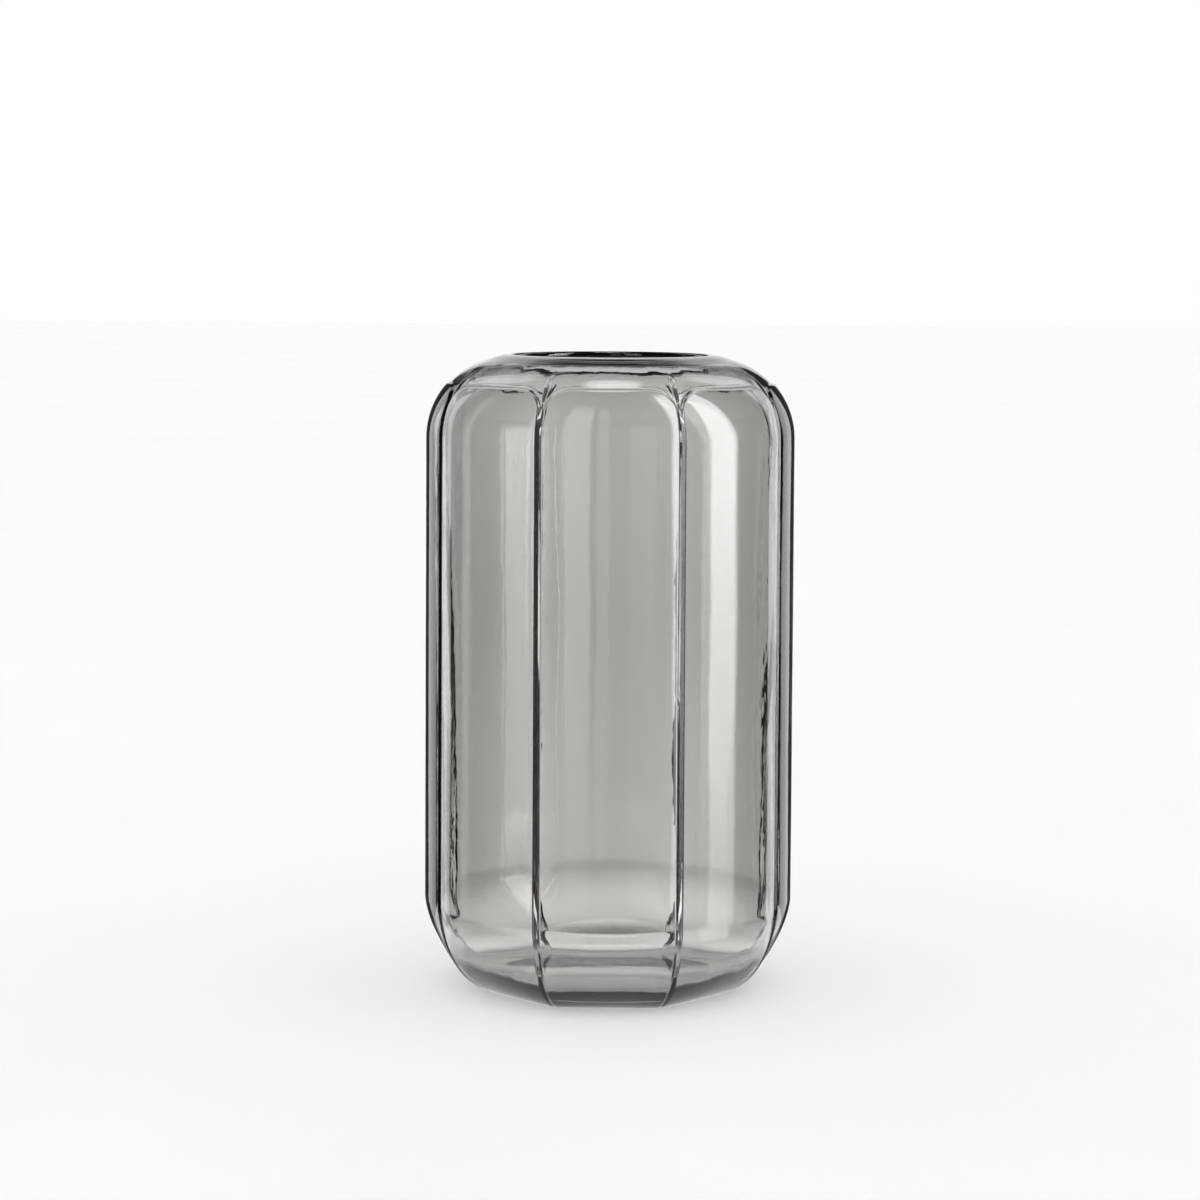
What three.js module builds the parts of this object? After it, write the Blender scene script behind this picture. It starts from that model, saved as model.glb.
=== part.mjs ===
// Smoked glass cylinder vase, blown in a mould as one piece of glass.
// Millimetres, +Z up, the origin under the middle of the foot. A panel faces -Y.
//
// Eight pillowed panels run up the wall. Between them are V creases, which start at the
// corners of an eight-sided foot, run up the wall, and open out over the shoulder. Each
// panel ends in an arch there, a small step above the plain round collar. The inside is
// smooth, and a little flatter across each panel.

import * as THREE from "three";

const HEIGHT = 250;
const RADIUS_LOW = 73.1; // outside, at the middle of a panel, where the heel ends
const RADIUS_HIGH = 72.5; // and where the shoulder starts
const HEEL_ACROSS = 25.5; // the curve from the foot to the wall
const HEEL_RISE = 35;
const HEEL_POWER = 1.57; // of the heel's superellipse: nearer a bevel than a quarter round
const SHOULDER = 32.8; // radius of the curve from the wall to the mouth

const FOOT_INNER = 42; // the foot is a flat ring around a shallow push-up
const PUSH_UP = 2;
const FLOOR_HEIGHT = 5; // the flat inside floor
const FLOOR_RADIUS = 48;
const BOWL_TOP = 31; // height where the inside bowl meets the inside wall
const BOWL_POWER = 1.7;

const WALL_LOW = 3.4; // glass thickness at the foot of the wall
const WALL_HIGH = 2.6; // and at the top of it
const LIP = 3; // thickness of the fire-polished mouth

const PANELS = 8;
const FLAT_WALL = -0.35; // of a panel across: -1 is well pillowed, 0 is round, 1 is an octagon's side
const FLAT_INSIDE = 0.1; // how much flatter the inside is
const FLAT_FOOT = 0.8;
const CREASE_LOW = 1; // depth of a crease's V, low on the wall
const CREASE_HIGH = 0.85; // at the top of the wall
const CREASE_OVER = 1.3; // and on the shoulder
const CREASE_HALF = 1.5; // half the width of the V on the wall
const CREASE_HALF_OVER = 8; // and where it ends
const CREASE_OPENS = 0.4; // rad up the shoulder where the V begins to open out
const CREASE_FADES = 0.85; // where it begins to die out
const CREASE_ENDS = 1.15; // and where it is gone
const COLLAR_STEP = 0.9; // depth of the collar below the panels
const COLLAR_FROM = 0.71; // rad up the shoulder where a panel's middle starts down to it
const COLLAR_TO = 0.77; // and where it is down
const COLLAR_ARCH = 0.35; // how much lower the step starts at a crease
const RIM_FROM = 1.3; // where the collar starts back up to the lip

// Where the facets across half a panel end, as shares of the way from the V's edge.
const FACETS = [0, 0.12, 0.3, 0.52, 0.76, 1];
// Where the rings over the shoulder lie, in rad up from the wall.
const OVER = [0, 0.12, 0.24, 0.36, 0.48, 0.6, COLLAR_FROM, COLLAR_TO, 0.88, 1, CREASE_ENDS, RIM_FROM, 1.44];

const mix = THREE.MathUtils.lerp;
const smooth = THREE.MathUtils.smoothstep;

const HALF_PANEL = Math.PI / PANELS;
const HALF_COLUMNS = FACETS.length;
const COLUMNS = 2 * HALF_COLUMNS * PANELS;
const QUARTER = Math.PI / 2;
const FOOT_RADIUS = RADIUS_LOW - HEEL_ACROSS;
const MOUTH_RADIUS = RADIUS_HIGH - SHOULDER;
const WALL_TOP = HEIGHT - SHOULDER;

// A station is one ring of the vase: its radius and height at the middle of a panel, the
// way its surface faces (0 outwards, a quarter turn upwards), how flat its panels are, the
// depth and half width of the V between two panels, and how far over the shoulder it lies.
const station = (radius, height, facing, flat = 0, depth = 0, half = CREASE_HALF, over = 0) => ({
  radius,
  height,
  facing,
  flat,
  depth,
  half,
  over,
});

const signedPower = (value, power) => Math.sign(value) * Math.abs(value) ** power;

const turns = (from, to, steps) => Array.from({ length: steps }, (_, i) => mix(from, to, i / steps));

// Stations along a superellipse. A power of 2 is a true ellipse.
function bend({ centre, rise, across, up, at, power = 2, flat, depth, half, over }) {
  return at.map((turn) => {
    const [out, along] = [Math.cos(turn), Math.sin(turn)];
    return station(
      centre + across * signedPower(out, 2 / power),
      rise + up * signedPower(along, 2 / power),
      Math.atan2(
        signedPower(along, 2 - 2 / power) / up,
        signedPower(out, 2 - 2 / power) / across,
      ),
      flat?.(turn),
      depth?.(turn),
      half?.(turn),
      over?.(turn),
    );
  });
}

const flatOnHeel = (turn, wall) => mix(wall, FLAT_FOOT, smooth(-turn, 0, QUARTER));
const flatOnShoulder = (turn, wall) => wall * (1 - smooth(turn, 0, RIM_FROM));
const creaseOnHeel = (turn) => CREASE_LOW * Math.cos(turn) ** 0.6;
const creaseOnShoulder = (turn) =>
  mix(CREASE_HIGH, CREASE_OVER, smooth(turn, 0, CREASE_FADES)) *
  (1 - smooth(turn, CREASE_FADES, CREASE_ENDS));
const halfOnShoulder = (turn) =>
  mix(CREASE_HALF, CREASE_HALF_OVER, smooth(turn, CREASE_OPENS, CREASE_ENDS));

function outside() {
  const pushUp = Array.from({ length: 5 }, (_, i) => {
    const share = i / 5;
    return station(FOOT_INNER * share, PUSH_UP * (1 - share ** 2), -QUARTER);
  });
  const heel = bend({
    centre: FOOT_RADIUS, rise: HEEL_RISE, across: HEEL_ACROSS, up: HEEL_RISE,
    at: turns(-QUARTER, 0, 9), power: HEEL_POWER,
    flat: (turn) => flatOnHeel(turn, FLAT_WALL), depth: creaseOnHeel,
  });
  const shoulder = bend({
    centre: MOUTH_RADIUS, rise: WALL_TOP, across: SHOULDER, up: SHOULDER,
    at: OVER,
    flat: (turn) => flatOnShoulder(turn, FLAT_WALL),
    depth: creaseOnShoulder, half: halfOnShoulder, over: (turn) => turn,
  });
  const lip = bend({
    centre: MOUTH_RADIUS, rise: HEIGHT - LIP / 2, across: LIP / 2, up: LIP / 2,
    at: turns(QUARTER, 3 * QUARTER, 4),
  });
  return [
    ...pushUp,
    station(FOOT_INNER, 0, -QUARTER),
    ...heel,
    station(RADIUS_LOW, HEEL_RISE, 0, FLAT_WALL, CREASE_LOW),
    ...shoulder,
    ...lip,
  ];
}

function inside() {
  const low = RADIUS_LOW - WALL_LOW;
  const high = RADIUS_HIGH - WALL_HIGH;
  const wall = FLAT_WALL + FLAT_INSIDE;
  const shoulder = bend({
    centre: MOUTH_RADIUS, rise: WALL_TOP, across: high - MOUTH_RADIUS, up: SHOULDER - LIP,
    at: turns(QUARTER, 0, 9),
    flat: (turn) => flatOnShoulder(turn, wall), half: halfOnShoulder,
  });
  const bowl = bend({
    centre: FLOOR_RADIUS, rise: BOWL_TOP, across: low - FLOOR_RADIUS, up: BOWL_TOP - FLOOR_HEIGHT,
    at: turns(0, -QUARTER, 8), power: BOWL_POWER,
    flat: (turn) => flatOnHeel(turn, wall),
  });
  return [
    ...shoulder,
    station(high, WALL_TOP, 0, wall),
    ...bowl,
    station(FLOOR_RADIUS, FLOOR_HEIGHT, -QUARTER, FLAT_FOOT),
    station(0, FLOOR_HEIGHT, -QUARTER),
  ];
}

// The share of the step down to the collar. Across is 0 mid-panel and 1 on a crease.
const collar = (over, across) =>
  smooth(over + COLLAR_ARCH * across ** 8, COLLAR_FROM, COLLAR_TO) *
  (1 - smooth(over, RIM_FROM, QUARTER));

// The lathe turns the stations into one closed surface. Then each ring's points move to
// the V's edges and across the panels, and follow the panels' and creases' own shape.
function vaseGeometry() {
  const rings = [...outside(), ...inside()];
  const outline = rings.map((ring) => new THREE.Vector2(ring.radius, ring.height));
  const geometry = new THREE.LatheGeometry(outline, COLUMNS);
  const points = geometry.getAttribute("position");
  for (let i = 0; i < points.count; i++) {
    const ring = rings[i % rings.length];
    const column = Math.floor(i / rings.length) % COLUMNS;
    const panel = Math.round(column / (2 * HALF_COLUMNS));
    const side = column - 2 * HALF_COLUMNS * panel;
    const step = HALF_COLUMNS - Math.abs(side); // 0 on the crease, counting to the middle

    const edge = ring.half / RADIUS_LOW;
    const fromCrease = step === 0 ? 0 : mix(edge, HALF_PANEL, FACETS[step - 1]);
    const fromMiddle = HALF_PANEL - fromCrease;
    const angle = 2 * HALF_PANEL * panel + Math.sign(side) * fromMiddle;
    const proud = ring.radius * ring.flat * (1 / Math.cos(fromMiddle) - 1);
    const crease = ring.depth * Math.max(0, 1 - fromCrease / edge);
    const sink = Math.max(crease, COLLAR_STEP * collar(ring.over, fromMiddle / HALF_PANEL));
    const radius = ring.radius + proud - sink * Math.cos(ring.facing);
    const height = ring.height - sink * Math.sin(ring.facing);
    points.setXYZ(i, radius * Math.sin(angle), height, radius * Math.cos(angle));
  }
  return geometry.rotateX(QUARTER);
}

const smokedGlass = new THREE.MeshStandardMaterial({
  color: 0x8d8c88,
  roughness: 0.04,
  metalness: 0,
  transparent: true,
  opacity: 0.5,
});

const vase = new THREE.Mesh(vaseGeometry(), smokedGlass);
vase.name = "glass_body";

const part = new THREE.Group();
part.add(vase);

export default part;
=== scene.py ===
"""Smoked glass cylinder vase: the looks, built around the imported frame."""

import math

import bpy
import numpy as np
from mathutils import Euler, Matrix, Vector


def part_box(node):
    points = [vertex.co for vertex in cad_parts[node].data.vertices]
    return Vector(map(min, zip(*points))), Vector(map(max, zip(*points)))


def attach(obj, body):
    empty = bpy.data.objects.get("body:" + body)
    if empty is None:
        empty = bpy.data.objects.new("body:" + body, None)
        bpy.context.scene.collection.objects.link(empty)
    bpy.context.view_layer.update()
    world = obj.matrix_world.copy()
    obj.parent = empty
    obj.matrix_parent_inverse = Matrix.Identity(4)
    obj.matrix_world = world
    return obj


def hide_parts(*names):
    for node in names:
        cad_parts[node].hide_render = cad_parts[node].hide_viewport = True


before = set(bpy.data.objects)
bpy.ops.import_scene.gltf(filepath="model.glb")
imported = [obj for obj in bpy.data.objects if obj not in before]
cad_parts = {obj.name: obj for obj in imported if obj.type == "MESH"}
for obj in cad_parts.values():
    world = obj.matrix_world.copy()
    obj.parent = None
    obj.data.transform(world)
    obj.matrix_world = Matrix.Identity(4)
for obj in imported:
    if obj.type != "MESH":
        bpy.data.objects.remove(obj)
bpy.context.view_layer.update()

MM = 0.001
BODY_NODE = "glass_body"

# The vase, in millimetres: the same driving sizes as the CAD body's.
LOW, HIGH = (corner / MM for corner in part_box(BODY_NODE))
HEIGHT = HIGH.z
RADIUS_LOW = HIGH.x  # outside, at the middle of a panel, where the heel ends
RADIUS_HIGH = RADIUS_LOW - 0.6  # and where the shoulder starts
HEEL_ACROSS = 25.5  # the curve from the foot to the wall
HEEL_RISE = 35.0
HEEL_POWER = 1.57  # of the heel's superellipse; 2 is a true ellipse
SHOULDER = 32.8  # radius of the curve from the wall to the mouth
FOOT_INNER = 42.0  # the foot is a flat ring around a shallow push-up
PUSH_UP = 2.0
FLOOR_HEIGHT = 5.0  # the flat inside floor
FLOOR_RADIUS = 48.0
BOWL_TOP = 31.0  # height where the inside bowl meets the inside wall
BOWL_POWER = 1.7
WALL_LOW = 3.4  # glass thickness at the foot of the wall
WALL_HIGH = 2.6  # and at the top of it
LIP = 3.0

# The panels. Flatness is -1 for well pillowed, 0 for round and 1 for an octagon's side.
PANELS = 8
FLAT_WALL = -0.35
FLAT_INSIDE = 0.1  # how much flatter the inside is
FLAT_FOOT = 0.8

# The V creases between them: depth, half width, and rad up the shoulder where they change.
CREASE_LOW = 1.0
CREASE_HIGH = 0.85
CREASE_OVER = 1.3
CREASE_HALF = 1.5
CREASE_HALF_OVER = 8.0
CREASE_OPENS = 0.4
CREASE_FADES = 0.85
CREASE_ENDS = 1.15

# The collar, below the panels' arched tops, in mm and in rad up the shoulder.
COLLAR_STEP = 0.9
COLLAR_FROM = 0.71
COLLAR_TO = 0.77
COLLAR_ARCH = 0.35  # how much lower the step starts at a crease
RIM_FROM = 1.3

# The finer surface: points across a panel, how they crowd towards its creases, and waviness.
PANEL_POINTS = 72
CROWDING = 2.4
WAVES = 14
RIPPLE = 0.02

HALF_PANEL = math.pi / PANELS
QUARTER = math.pi / 2
FOOT_RADIUS = RADIUS_LOW - HEEL_ACROSS
MOUTH_RADIUS = RADIUS_HIGH - SHOULDER
WALL_TOP = HEIGHT - SHOULDER


# ---------------------------------------------------------------- camera


# Metres, millimetres of lens and radians.
CAMERA_PLACE = (0.0, -1.202, 0.288)
CAMERA_PITCH, CAMERA_YAW, CAMERA_ROLL = 0.1118, 0.0031, 0.0053
CAMERA_LENS = 91.7


def make_camera():
    """The camera stands 1.2 m in front, a little above the rim, and looks slightly down."""
    data = bpy.data.cameras.new("camera")
    data.sensor_width = 36.0
    data.lens = CAMERA_LENS
    data.clip_start, data.clip_end = 0.05, 100.0
    camera = bpy.data.objects.new("camera", data)
    bpy.context.scene.collection.objects.link(camera)
    camera.location = CAMERA_PLACE
    turn = Euler((QUARTER - CAMERA_PITCH, 0.0, CAMERA_YAW)).to_matrix()
    camera.rotation_euler = (turn @ Euler((0.0, 0.0, CAMERA_ROLL)).to_matrix()).to_euler()
    bpy.context.scene.camera = camera


# ---------------------------------------------------------------- glass shape


def smooth(value, low, high):
    share = np.clip((value - low) / (high - low), 0.0, 1.0)
    return share * share * (3.0 - 2.0 * share)


def mix(a, b, share):
    return a + (b - a) * share


def signed_power(value, power):
    return np.sign(value) * np.abs(value) ** power


def crease_on_heel(turn):
    return CREASE_LOW * np.cos(turn) ** 0.6


def flat_on_heel(turn, extra=0.0):
    return mix(FLAT_WALL + extra, FLAT_FOOT, smooth(-turn, 0.0, QUARTER))


def crease_on_shoulder(turn):
    depth = mix(CREASE_HIGH, CREASE_OVER, smooth(turn, 0.0, CREASE_FADES))
    return depth * (1.0 - smooth(turn, CREASE_FADES, CREASE_ENDS))


def half_on_shoulder(turn):
    return mix(CREASE_HALF, CREASE_HALF_OVER, smooth(turn, CREASE_OPENS, CREASE_ENDS))


def flat_on_shoulder(turn, extra=0.0):
    return (FLAT_WALL + extra) * (1.0 - smooth(turn, 0.0, RIM_FROM))


def collar(turn, across):
    """The share of the step down to the collar; across is 0 mid-panel and 1 on a crease."""
    step = smooth(turn + COLLAR_ARCH * across**8, COLLAR_FROM, COLLAR_TO)
    return step * (1.0 - smooth(turn, RIM_FROM, QUARTER))


def rings(radius, height, facing, flat=0.0, depth=0.0, half=CREASE_HALF, turn=0.0):
    """Stations up the vase, one row each.

    A row is radius, height, facing, flatness of the panels, depth and half width of the creases,
    and how far over the shoulder it lies.
    """
    columns = np.broadcast_arrays(radius, height, facing, flat, depth, half, turn)
    return np.stack([np.asarray(column, float) for column in columns], axis=1)


def bend(centre, rise, across, up, start, end, steps, power=2.0):
    """Turn, radius, height and facing along a superellipse, without its last point."""
    turn = np.linspace(start, end, steps, endpoint=False)
    out, along = np.cos(turn), np.sin(turn)
    facing = np.arctan2(
        signed_power(along, 2 - 2 / power) / up, signed_power(out, 2 - 2 / power) / across
    )
    radius = centre + across * signed_power(out, 2 / power)
    height = rise + up * signed_power(along, 2 / power)
    return turn, radius, height, facing


def outside_rings():
    share = np.linspace(0.0, 1.0, 24, endpoint=False)
    push_up = rings(FOOT_INNER * share, PUSH_UP * (1 - share**2), -QUARTER)
    foot = rings(np.linspace(FOOT_INNER, FOOT_RADIUS, 8, endpoint=False), 0.0, -QUARTER,
                 np.linspace(0.0, FLAT_FOOT, 8, endpoint=False))
    turn, radius, height, facing = bend(
        FOOT_RADIUS, HEEL_RISE, HEEL_ACROSS, HEEL_RISE, -QUARTER, 0.0, 56, HEEL_POWER)
    heel = rings(radius, height, facing, flat_on_heel(turn), crease_on_heel(turn))
    up = np.linspace(0.0, 1.0, 96, endpoint=False)
    wall = rings(mix(RADIUS_LOW, RADIUS_HIGH, up), mix(HEEL_RISE, WALL_TOP, up), 0.0, FLAT_WALL,
                 mix(CREASE_LOW, CREASE_HIGH, up))
    turn, radius, height, facing = bend(MOUTH_RADIUS, WALL_TOP, SHOULDER, SHOULDER, 0.0, QUARTER, 64)
    shoulder = rings(radius, height, facing, flat_on_shoulder(turn), crease_on_shoulder(turn),
                     half_on_shoulder(turn), turn)
    turn, radius, height, facing = bend(
        MOUTH_RADIUS, HEIGHT - LIP / 2, LIP / 2, LIP / 2, QUARTER, 3 * QUARTER, 20)
    lip = rings(radius, height, facing)
    return np.concatenate([push_up, foot, heel, wall, shoulder, lip])


def inside_rings():
    low, high = RADIUS_LOW - WALL_LOW, RADIUS_HIGH - WALL_HIGH
    turn, radius, height, facing = bend(
        MOUTH_RADIUS, WALL_TOP, high - MOUTH_RADIUS, SHOULDER - LIP, QUARTER, 0.0, 64)
    shoulder = rings(radius, height, facing, flat_on_shoulder(turn, FLAT_INSIDE))
    down = np.linspace(0.0, 1.0, 96, endpoint=False)
    wall = rings(mix(high, low, down), mix(WALL_TOP, BOWL_TOP, down), 0.0, FLAT_WALL + FLAT_INSIDE)
    turn, radius, height, facing = bend(
        FLOOR_RADIUS, BOWL_TOP, low - FLOOR_RADIUS, BOWL_TOP - FLOOR_HEIGHT, 0.0, -QUARTER, 56,
        BOWL_POWER)
    bowl = rings(radius, height, facing, flat_on_heel(turn, FLAT_INSIDE))
    inward = np.linspace(1.0, 0.0, 24)
    floor = rings(FLOOR_RADIUS * inward, FLOOR_HEIGHT, -QUARTER, FLAT_FOOT * inward)
    return np.concatenate([shoulder, wall, bowl, floor])


def panel_columns(count, crowd):
    """Angles across one panel from its middle and from its crease, crowded towards the crease."""
    side = np.linspace(-1.0, 1.0, count, endpoint=False)
    from_crease = HALF_PANEL * (1.0 - np.abs(side)) ** crowd
    return np.sign(side) * (HALF_PANEL - from_crease), from_crease


def ripple(angle, height, waves):
    """The slight waviness of blown glass, as a seeded sum of waves that run mostly up the wall."""
    total = 0.0
    for around, tall, size, phase in waves:
        total = total + size * np.sin(around * angle + 2 * math.pi * height / tall + phase)
    return total


def make_waves(seed, count, most_around, size):
    dice = np.random.default_rng(seed)
    around = dice.integers(3, most_around, count)
    tall = dice.uniform(60.0, 400.0, count) * dice.choice((-1.0, 1.0), count)
    phase = dice.uniform(0.0, 2 * math.pi, count)
    return np.stack([around, tall, size * 10.0 / (10.0 + around), phase], axis=1)


def shell_points(stations, waves):
    """Points of the shell, one row per station and one column per angle."""
    local, from_crease = panel_columns(PANEL_POINTS, CROWDING)
    angle = (local + 2 * HALF_PANEL * np.arange(PANELS)[:, None]).ravel()
    local, from_crease = np.tile(local, PANELS), np.tile(from_crease, PANELS)
    radius, height, facing, flat, depth, half, turn = (column[:, None] for column in stations.T)
    crease = depth * np.clip(1.0 - RADIUS_LOW * from_crease / half, 0.0, None)
    sink = np.maximum(crease, COLLAR_STEP * collar(turn, np.abs(local) / HALF_PANEL))
    proud = radius * flat * (1.0 / np.cos(local)[None, :] - 1.0)
    wavy = ripple(angle[None, :], height, waves) * smooth(radius, 0.0, RADIUS_HIGH)
    sink = sink + wavy * (1.0 - smooth(np.abs(facing), 1.0, QUARTER))
    out = radius + proud - sink * np.cos(facing)
    up = height - sink * np.sin(facing)
    return np.stack(
        [out * np.sin(angle), -out * np.cos(angle), np.broadcast_to(up, out.shape)], axis=2
    )


def grid_mesh(name, points):
    """A closed surface from rings of points; the first and last ring are single points."""
    count, columns = points.shape[:2]
    body = points[1:-1].reshape(-1, 3)
    vertices = np.concatenate([points[:1, 0], body, points[-1:, 0]]) * MM
    row = np.arange(count - 3)[:, None] * columns + 1
    here = np.arange(columns)[None, :]
    after = (here + 1) % columns
    quads = np.stack([row + here, row + after, row + columns + after, row + columns + here], axis=2)
    last = len(vertices) - 1
    end = last - columns
    pairs = [(int(a), int(b)) for a, b in zip(here[0], after[0])]
    fans = [(0, b + 1, a + 1) for a, b in pairs]
    fans += [(last, end + a, end + b) for a, b in pairs]
    mesh = bpy.data.meshes.new(name)
    mesh.from_pydata(vertices.tolist(), [], quads.reshape(-1, 4).tolist() + fans)
    mesh.shade_smooth()
    mesh.update()
    piece = bpy.data.objects.new(name, mesh)
    bpy.context.scene.collection.objects.link(piece)
    return piece


# ---------------------------------------------------------------- materials

# Most of a noise's values lie between these.
NOISE_LOW, NOISE_HIGH = 0.35, 0.65

GLASS_IOR = 1.5
GLASS_TINTS = (0.97, 0.97, 0.96), (1.0, 1.0, 1.0)
GLASS_HAZE = 0.03
SMOKE_COLOUR = (0.3, 0.28, 0.25, 1.0)
SMOKE_DENSITY = 210.0  # per metre
WAVE_DEPTH = 0.0006  # metres
MARK_DEPTH = 0.00002
FLOOR_TINTS = (0.96, 0.96, 0.96), (0.98, 0.98, 0.98)
GRAIN_DEPTH = 0.0001


def noise(tree, scale, detail, stretch=(1.0, 1.0, 1.0)):
    """Noise over the piece's own coordinates, in metres; a stretch below 1 draws it out along an axis."""
    place = tree.nodes.new("ShaderNodeMapping")
    place.inputs["Scale"].default_value = stretch
    tree.links.new(tree.nodes.new("ShaderNodeTexCoord").outputs["Object"], place.inputs["Vector"])
    node = tree.nodes.new("ShaderNodeTexNoise")
    node.inputs["Scale"].default_value = scale
    node.inputs["Detail"].default_value = detail
    tree.links.new(place.outputs["Vector"], node.inputs["Vector"])
    return node.outputs["Fac"]


def remap(tree, value, low, high):
    """Spread the middle of a noise over a range."""
    node = tree.nodes.new("ShaderNodeMapRange")
    node.inputs["From Min"].default_value = NOISE_LOW
    node.inputs["From Max"].default_value = NOISE_HIGH
    node.inputs["To Min"].default_value = low
    node.inputs["To Max"].default_value = high
    tree.links.new(value, node.inputs["Value"])
    return node.outputs[0]


def bump(tree, value, depth, below=None):
    node = tree.nodes.new("ShaderNodeBump")
    node.inputs["Distance"].default_value = depth
    tree.links.new(value, node.inputs["Height"])
    if below is not None:
        tree.links.new(below, node.inputs["Normal"])
    return node.outputs["Normal"]


def tint(tree, value, low, high):
    """A colour between two colours."""
    node = tree.nodes.new("ShaderNodeMix")
    node.data_type = "RGBA"
    node.inputs["A"].default_value = (*low, 1.0)
    node.inputs["B"].default_value = (*high, 1.0)
    tree.links.new(value, node.inputs["Factor"])
    return node.outputs["Result"]


def glass_material():
    """Smoke-grey glass, tinted right through, so thick and grazing glass is darkest.

    Its surface has long faint waves, small chill marks from the mould, and a trace of haze.
    """
    material = bpy.data.materials.new("smoked_glass")
    material.use_nodes = True
    tree = material.node_tree
    nodes, links = tree.nodes, tree.links
    shader = nodes["Principled BSDF"]
    shader.inputs["Transmission Weight"].default_value = 1.0
    shader.inputs["IOR"].default_value = GLASS_IOR
    cloud = remap(tree, noise(tree, 9.0, 2.0), 0.0, 1.0)
    links.new(tint(tree, cloud, *GLASS_TINTS), shader.inputs["Base Color"])
    haze = remap(tree, noise(tree, 60.0, 3.0), 0.0, GLASS_HAZE)
    links.new(haze, shader.inputs["Roughness"])
    waves = bump(tree, noise(tree, 30.0, 1.0, (1.0, 1.0, 0.25)), WAVE_DEPTH)
    marks = bump(tree, noise(tree, 220.0, 2.0, (1.0, 1.0, 0.5)), MARK_DEPTH, waves)
    links.new(marks, shader.inputs["Normal"])

    absorption = nodes.new("ShaderNodeVolumeAbsorption")
    absorption.inputs["Color"].default_value = SMOKE_COLOUR
    absorption.inputs["Density"].default_value = SMOKE_DENSITY
    links.new(absorption.outputs["Volume"], nodes["Material Output"].inputs["Volume"])
    return material


def floor_material():
    """A plain pale sweep with a faint grain."""
    material = bpy.data.materials.new("pale_floor")
    material.use_nodes = True
    tree = material.node_tree
    shader = tree.nodes["Principled BSDF"]
    cloud = remap(tree, noise(tree, 4.0, 3.0), 0.0, 1.0)
    tree.links.new(tint(tree, cloud, *FLOOR_TINTS), shader.inputs["Base Color"])
    grain = noise(tree, 500.0, 3.0)
    tree.links.new(remap(tree, grain, 0.85, 0.95), shader.inputs["Roughness"])
    tree.links.new(bump(tree, grain, GRAIN_DEPTH), shader.inputs["Normal"])
    return material


# ---------------------------------------------------------------- stage

# What the glass sees around it: a pale backdrop and floor in a dim room, with soft lights.
# Azimuth is 0 at the camera's side, 90 at +X and 180 behind, in degrees. A band is from, to
# and the half width of its soft edges.
ROOM = 0.06
BACKDROP_AZIMUTH = (168.5, 200.0, 1.5)
BACKDROP_ELEVATION = (-20.0, 30.0, 5.0)
FLOOR_ELEVATION = (-100.0, -20.0, 3.0)
FLOOR_LIGHT = 0.9
# The backdrop is brighter low down.
SWEEP_ELEVATION = (-20.0, -9.5, 3.5)
SWEEP_LIGHT = 0.35
# Each light is a band of azimuth, a band of elevation, and its strength.
STUDIO_LIGHTS = (
    ((55.5, 81.5, 2.5), (-10.0, 60.0, 7.5), 9.0),
    ((-38.0, -17.0, 1.5), (-9.0, 50.0, 6.0), 2.1),
    ((-11.5, -0.5, 1.5), (-9.0, 50.0, 5.0), 1.0),
    ((-108.0, -99.0, 2.0), (-12.0, 40.0, 6.0), 0.9),
    ((128.0, 150.0, 1.5), (-20.0, 60.0, 6.0), 1.8),
    ((-150.0, -128.0, 1.5), (-20.0, 60.0, 6.0), 1.6),
)
OVERHEAD_ELEVATION = (78.0, 100.0, 3.0)
OVERHEAD_LIGHT = 5.0
FLOOR_HALF = 12.0  # metres
FLOOR_BELOW = 0.0005  # keeps the floor clear of the foot


def math_node(tree, operation, *values):
    node = tree.nodes.new("ShaderNodeMath")
    node.operation = operation
    for socket, value in zip(node.inputs, values):
        if isinstance(value, bpy.types.NodeSocket):
            tree.links.new(value, socket)
        else:
            socket.default_value = value
    return node.outputs[0]


def edge(tree, value, low, high):
    """0 below the low end and 1 above the high end, with a soft step between them."""
    node = tree.nodes.new("ShaderNodeMapRange")
    node.interpolation_type = "SMOOTHSTEP"
    node.inputs["From Min"].default_value = low
    node.inputs["From Max"].default_value = high
    tree.links.new(value, node.inputs["Value"])
    return node.outputs[0]


def band(tree, value, start, end, soft):
    """1 between two angles in degrees and 0 outside them, with soft steps centred on them."""
    start, end, soft = math.radians(start), math.radians(end), math.radians(soft)
    rising = edge(tree, value, start - soft, start + soft)
    falling = edge(tree, value, end - soft, end + soft)
    return math_node(tree, "SUBTRACT", rising, falling)


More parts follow.
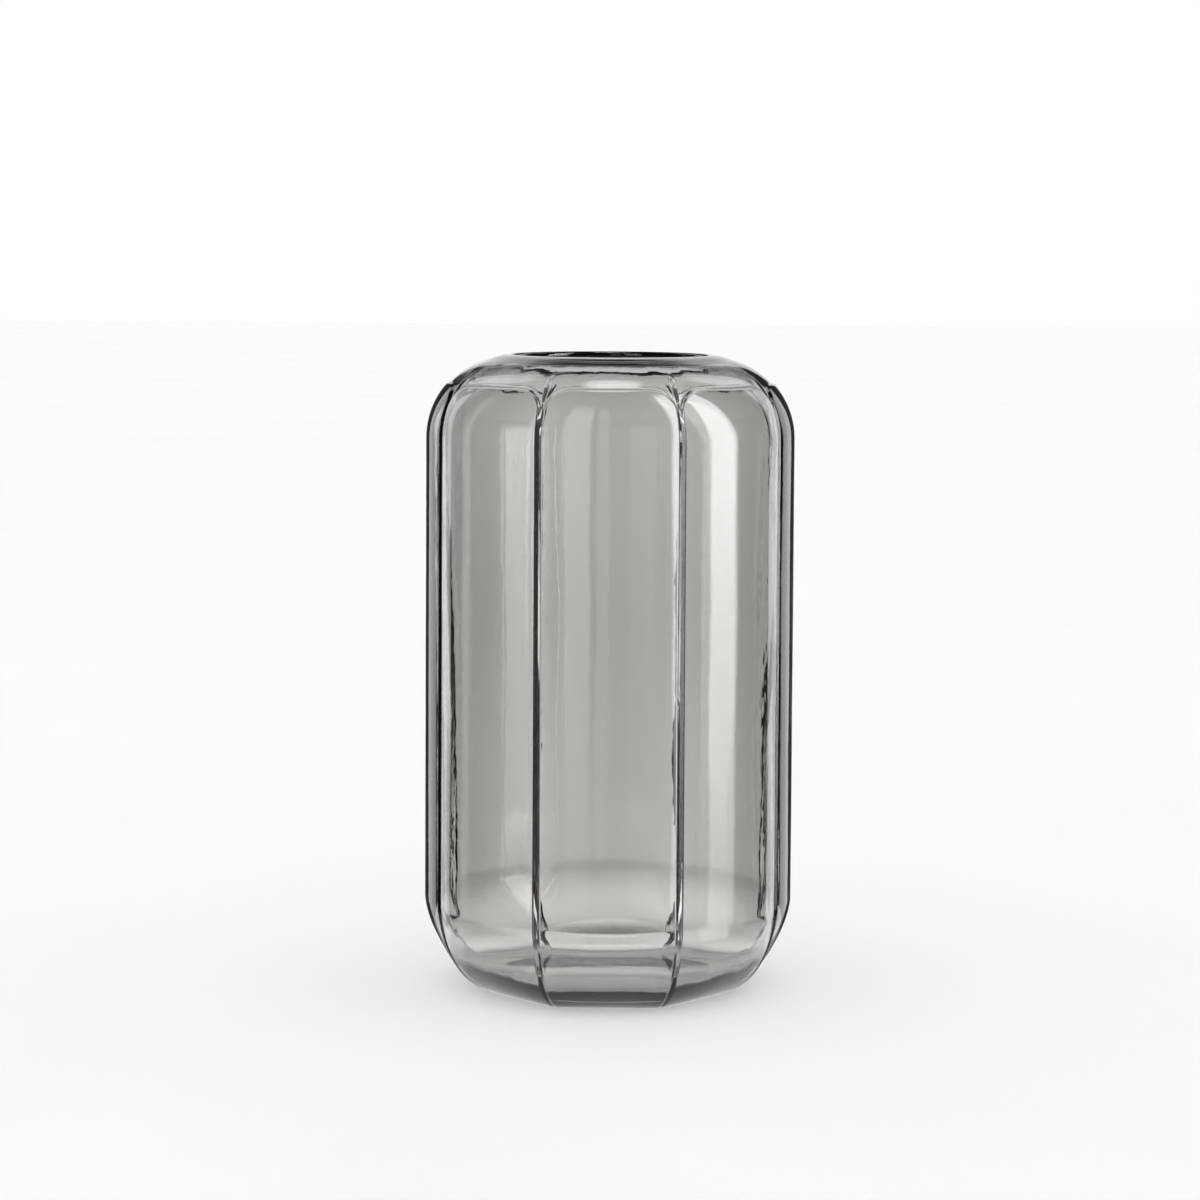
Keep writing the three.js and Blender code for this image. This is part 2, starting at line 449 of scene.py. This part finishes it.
def make_world():
    world = bpy.data.worlds.new("studio")
    bpy.context.scene.world = world
    world.use_nodes = True
    tree = world.node_tree
    direction = tree.nodes.new("ShaderNodeSeparateXYZ")
    tree.links.new(tree.nodes.new("ShaderNodeTexCoord").outputs["Generated"], direction.inputs[0])
    x, y, z = direction.outputs
    azimuth = math_node(tree, "ARCTAN2", x, math_node(tree, "MULTIPLY", y, -1.0))
    elevation = math_node(tree, "ARCSINE", z)
    backdrop = math_node(
        tree, "MULTIPLY", band(tree, math_node(tree, "ABSOLUTE", azimuth), *BACKDROP_AZIMUTH),
        band(tree, elevation, *BACKDROP_ELEVATION))
    floor = math_node(tree, "MULTIPLY", band(tree, elevation, *FLOOR_ELEVATION), FLOOR_LIGHT)
    pale = math_node(tree, "MAXIMUM", backdrop, floor)
    total = math_node(tree, "MULTIPLY_ADD", pale, 1.0 - ROOM, ROOM)
    sweep = math_node(tree, "MULTIPLY", backdrop, band(tree, elevation, *SWEEP_ELEVATION))
    total = math_node(tree, "MULTIPLY_ADD", sweep, SWEEP_LIGHT, total)
    for across, up, strength in STUDIO_LIGHTS:
        patch = math_node(tree, "MULTIPLY", band(tree, azimuth, *across), band(tree, elevation, *up))
        total = math_node(tree, "MULTIPLY_ADD", patch, strength - ROOM, total)
    overhead = band(tree, elevation, *OVERHEAD_ELEVATION)
    total = math_node(tree, "MULTIPLY_ADD", overhead, OVERHEAD_LIGHT, total)
    # Only rays that the glass bends or reflects see all this, unless they come from the
    # floor. The rest see plain white.
    ray = tree.nodes.new("ShaderNodeLightPath").outputs
    in_glass = math_node(tree, "MAXIMUM", ray["Is Glossy Ray"], ray["Is Transmission Ray"])
    from_floor = math_node(tree, "GREATER_THAN", ray["Diffuse Depth"], 0.5)
    seen = math_node(tree, "MULTIPLY", in_glass, math_node(tree, "SUBTRACT", 1.0, from_floor))
    total = math_node(tree, "MULTIPLY_ADD", math_node(tree, "SUBTRACT", total, 1.0), seen, 1.0)
    background = tree.nodes["Background"]
    background.inputs["Color"].default_value = (1.0, 1.0, 1.0, 1.0)
    tree.links.new(total, background.inputs["Strength"])


def make_stage():
    """A level floor. The glass sees the pale floor of the world instead of it."""
    floor_mesh = bpy.data.meshes.new("floor")
    corners = [(-1, -1), (1, -1), (1, 1), (-1, 1)]
    points = [(x * FLOOR_HALF, y * FLOOR_HALF, 0) for x, y in corners]
    floor_mesh.from_pydata(points, [], [(0, 1, 2, 3)])
    floor_mesh.materials.append(floor_material())
    floor = bpy.data.objects.new("floor", floor_mesh)
    floor.location.z = -FLOOR_BELOW
    bpy.context.scene.collection.objects.link(floor)
    floor.visible_glossy = False
    floor.visible_transmission = False
    floor.visible_shadow = False
    make_world()
    bpy.context.scene.view_settings.view_transform = "Standard"


# ---------------------------------------------------------------- assembly

make_camera()
make_stage()

outside = shell_points(outside_rings(), make_waves(5, WAVES, 60, RIPPLE))
inside = shell_points(inside_rings(), make_waves(11, WAVES, 40, RIPPLE))
vase = grid_mesh("glass_vase", np.concatenate([outside, inside]))
vase.data.materials.append(glass_material())
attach(vase, "root")
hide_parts(BODY_NODE)
vase.visible_shadow = False  # keeps the floor around the foot pale
